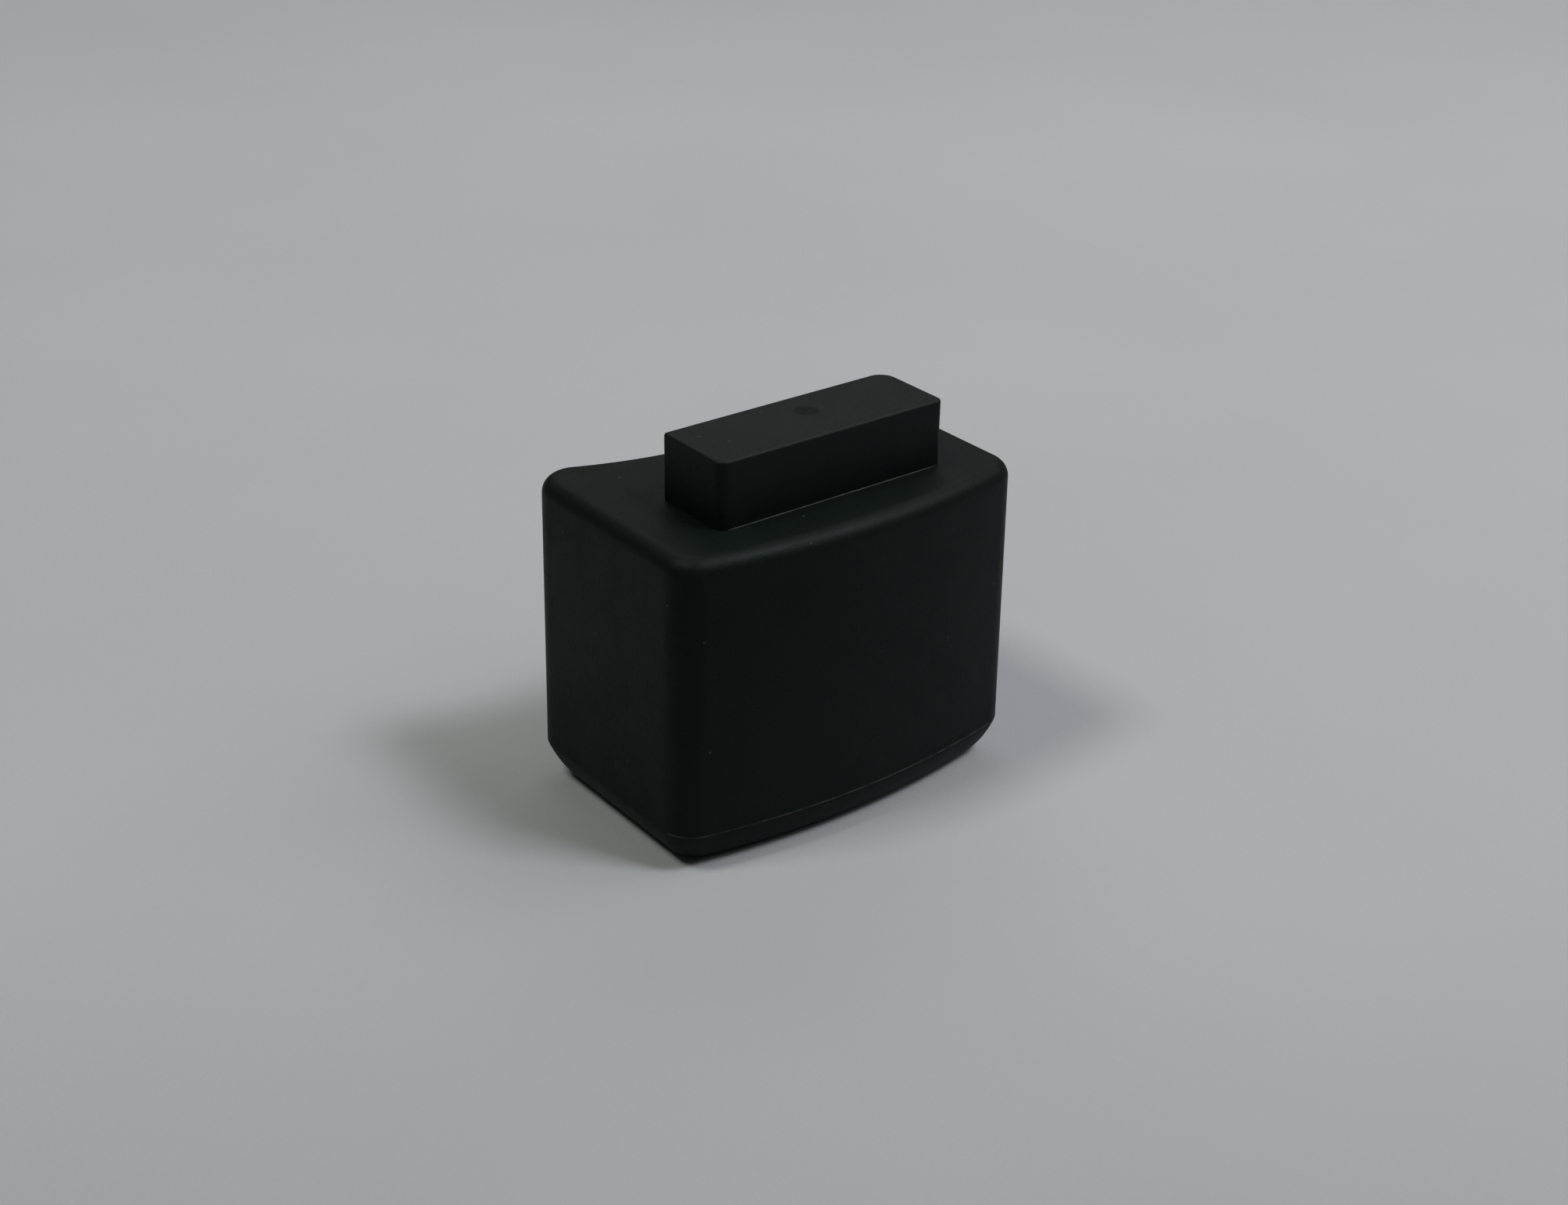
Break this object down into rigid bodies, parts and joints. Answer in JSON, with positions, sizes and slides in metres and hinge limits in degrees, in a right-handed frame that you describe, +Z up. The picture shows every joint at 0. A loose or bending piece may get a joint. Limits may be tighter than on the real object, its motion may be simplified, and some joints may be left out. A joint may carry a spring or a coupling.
{
  "type": "wireless flash trigger receiver",
  "caption": "Small upright black receiver block with convex front, hollow back and a mounting tongue on top, which fires a studio flash by radio.",
  "frame": {"origin": "middle of the base's bounding box, on the surface the receiver stands on", "axes": "+X along the length towards the control end, +Y from the convex front towards the hollow back, +Z up through the tongue"},
  "size_m": [0.0504, 0.0342, 0.0484],
  "materials": {
    "housing_rubber": "matt black moulded skin with a fine grain",
    "panel_plastic": "fine spark-eroded black",
    "steel": "zinc plated",
    "cell_sleeve": "printed film sleeve, plain",
    "contact_brass": "plated spring metal",
    "board_laminate": "green solder mask",
    "module_laminate": "blue solder mask",
    "can_steel": "tin plated",
    "chip_plastic": "moulded epoxy",
    "chip_ceramic": "fired ceramic",
    "capacitor_sleeve": "shrunk sleeve",
    "switch_blue": "moulded",
    "dial_white": "moulded",
    "knob_grey": "moulded",
    "button_red": "moulded",
    "led_clear": "diffused resin",
    "pipe_clear": "clear moulded"
  },
  "bodies": {
    "receiver_body": {"housing": "housing_rubber", "tongue": "housing_rubber", "tongue_screws": "steel", "base_cover": "housing_rubber", "cover_screws": "steel", "end_panel": "panel_plastic", "battery_cell": "cell_sleeve", "positive_contact": "contact_brass", "negative_contact": "contact_brass", "negative_spring": "steel", "main_board": "board_laminate", "board_screws": "steel", "radio_module": "module_laminate", "shield_can": "can_steel", "antenna_coil": "contact_brass", "microcontroller": "chip_plastic", "crystal": "can_steel", "reservoir_capacitor": "capacitor_sleeve", "trigger_thyristor": "chip_plastic", "chip_components": "chip_ceramic", "channel_switch": "switch_blue", "pin_header": "chip_plastic", "control_board": "board_laminate", "sync_jack": "chip_plastic", "power_switch": "can_steel", "test_switch": "chip_plastic", "status_led": "led_clear", "light_pipe": "pipe_clear"},
    "battery_door": {"battery_door": "housing_rubber"},
    "channel_dial": {"channel_dial": "dial_white"},
    "power_knob": {"power_knob": "knob_grey"},
    "test_button": {"test_button": "button_red", "switch_plunger": "dial_white"}
  },
  "joints": [
    {"name": "battery_door_slide", "type": "slide", "parent": "receiver_body", "child": "battery_door", "axis": [0, 1, 0], "range_m": [0, 0.027]},
    {"name": "channel_dial_turn", "type": "hinge", "parent": "receiver_body", "child": "channel_dial", "pos_m": [0.005, 0.0092, 0.0262], "axis": [0, 1, 0], "continuous": true},
    {"name": "power_knob_slide", "type": "slide", "parent": "receiver_body", "child": "power_knob", "axis": [0, 0, 1], "range_m": [0, 0.002]},
    {"name": "test_button_press", "type": "slide", "parent": "receiver_body", "child": "test_button", "axis": [-1, 0, 0], "range_m": [0, 0.0005], "stiffness_N_per_m": 1500, "springref_m": -0.0003}
  ]
}
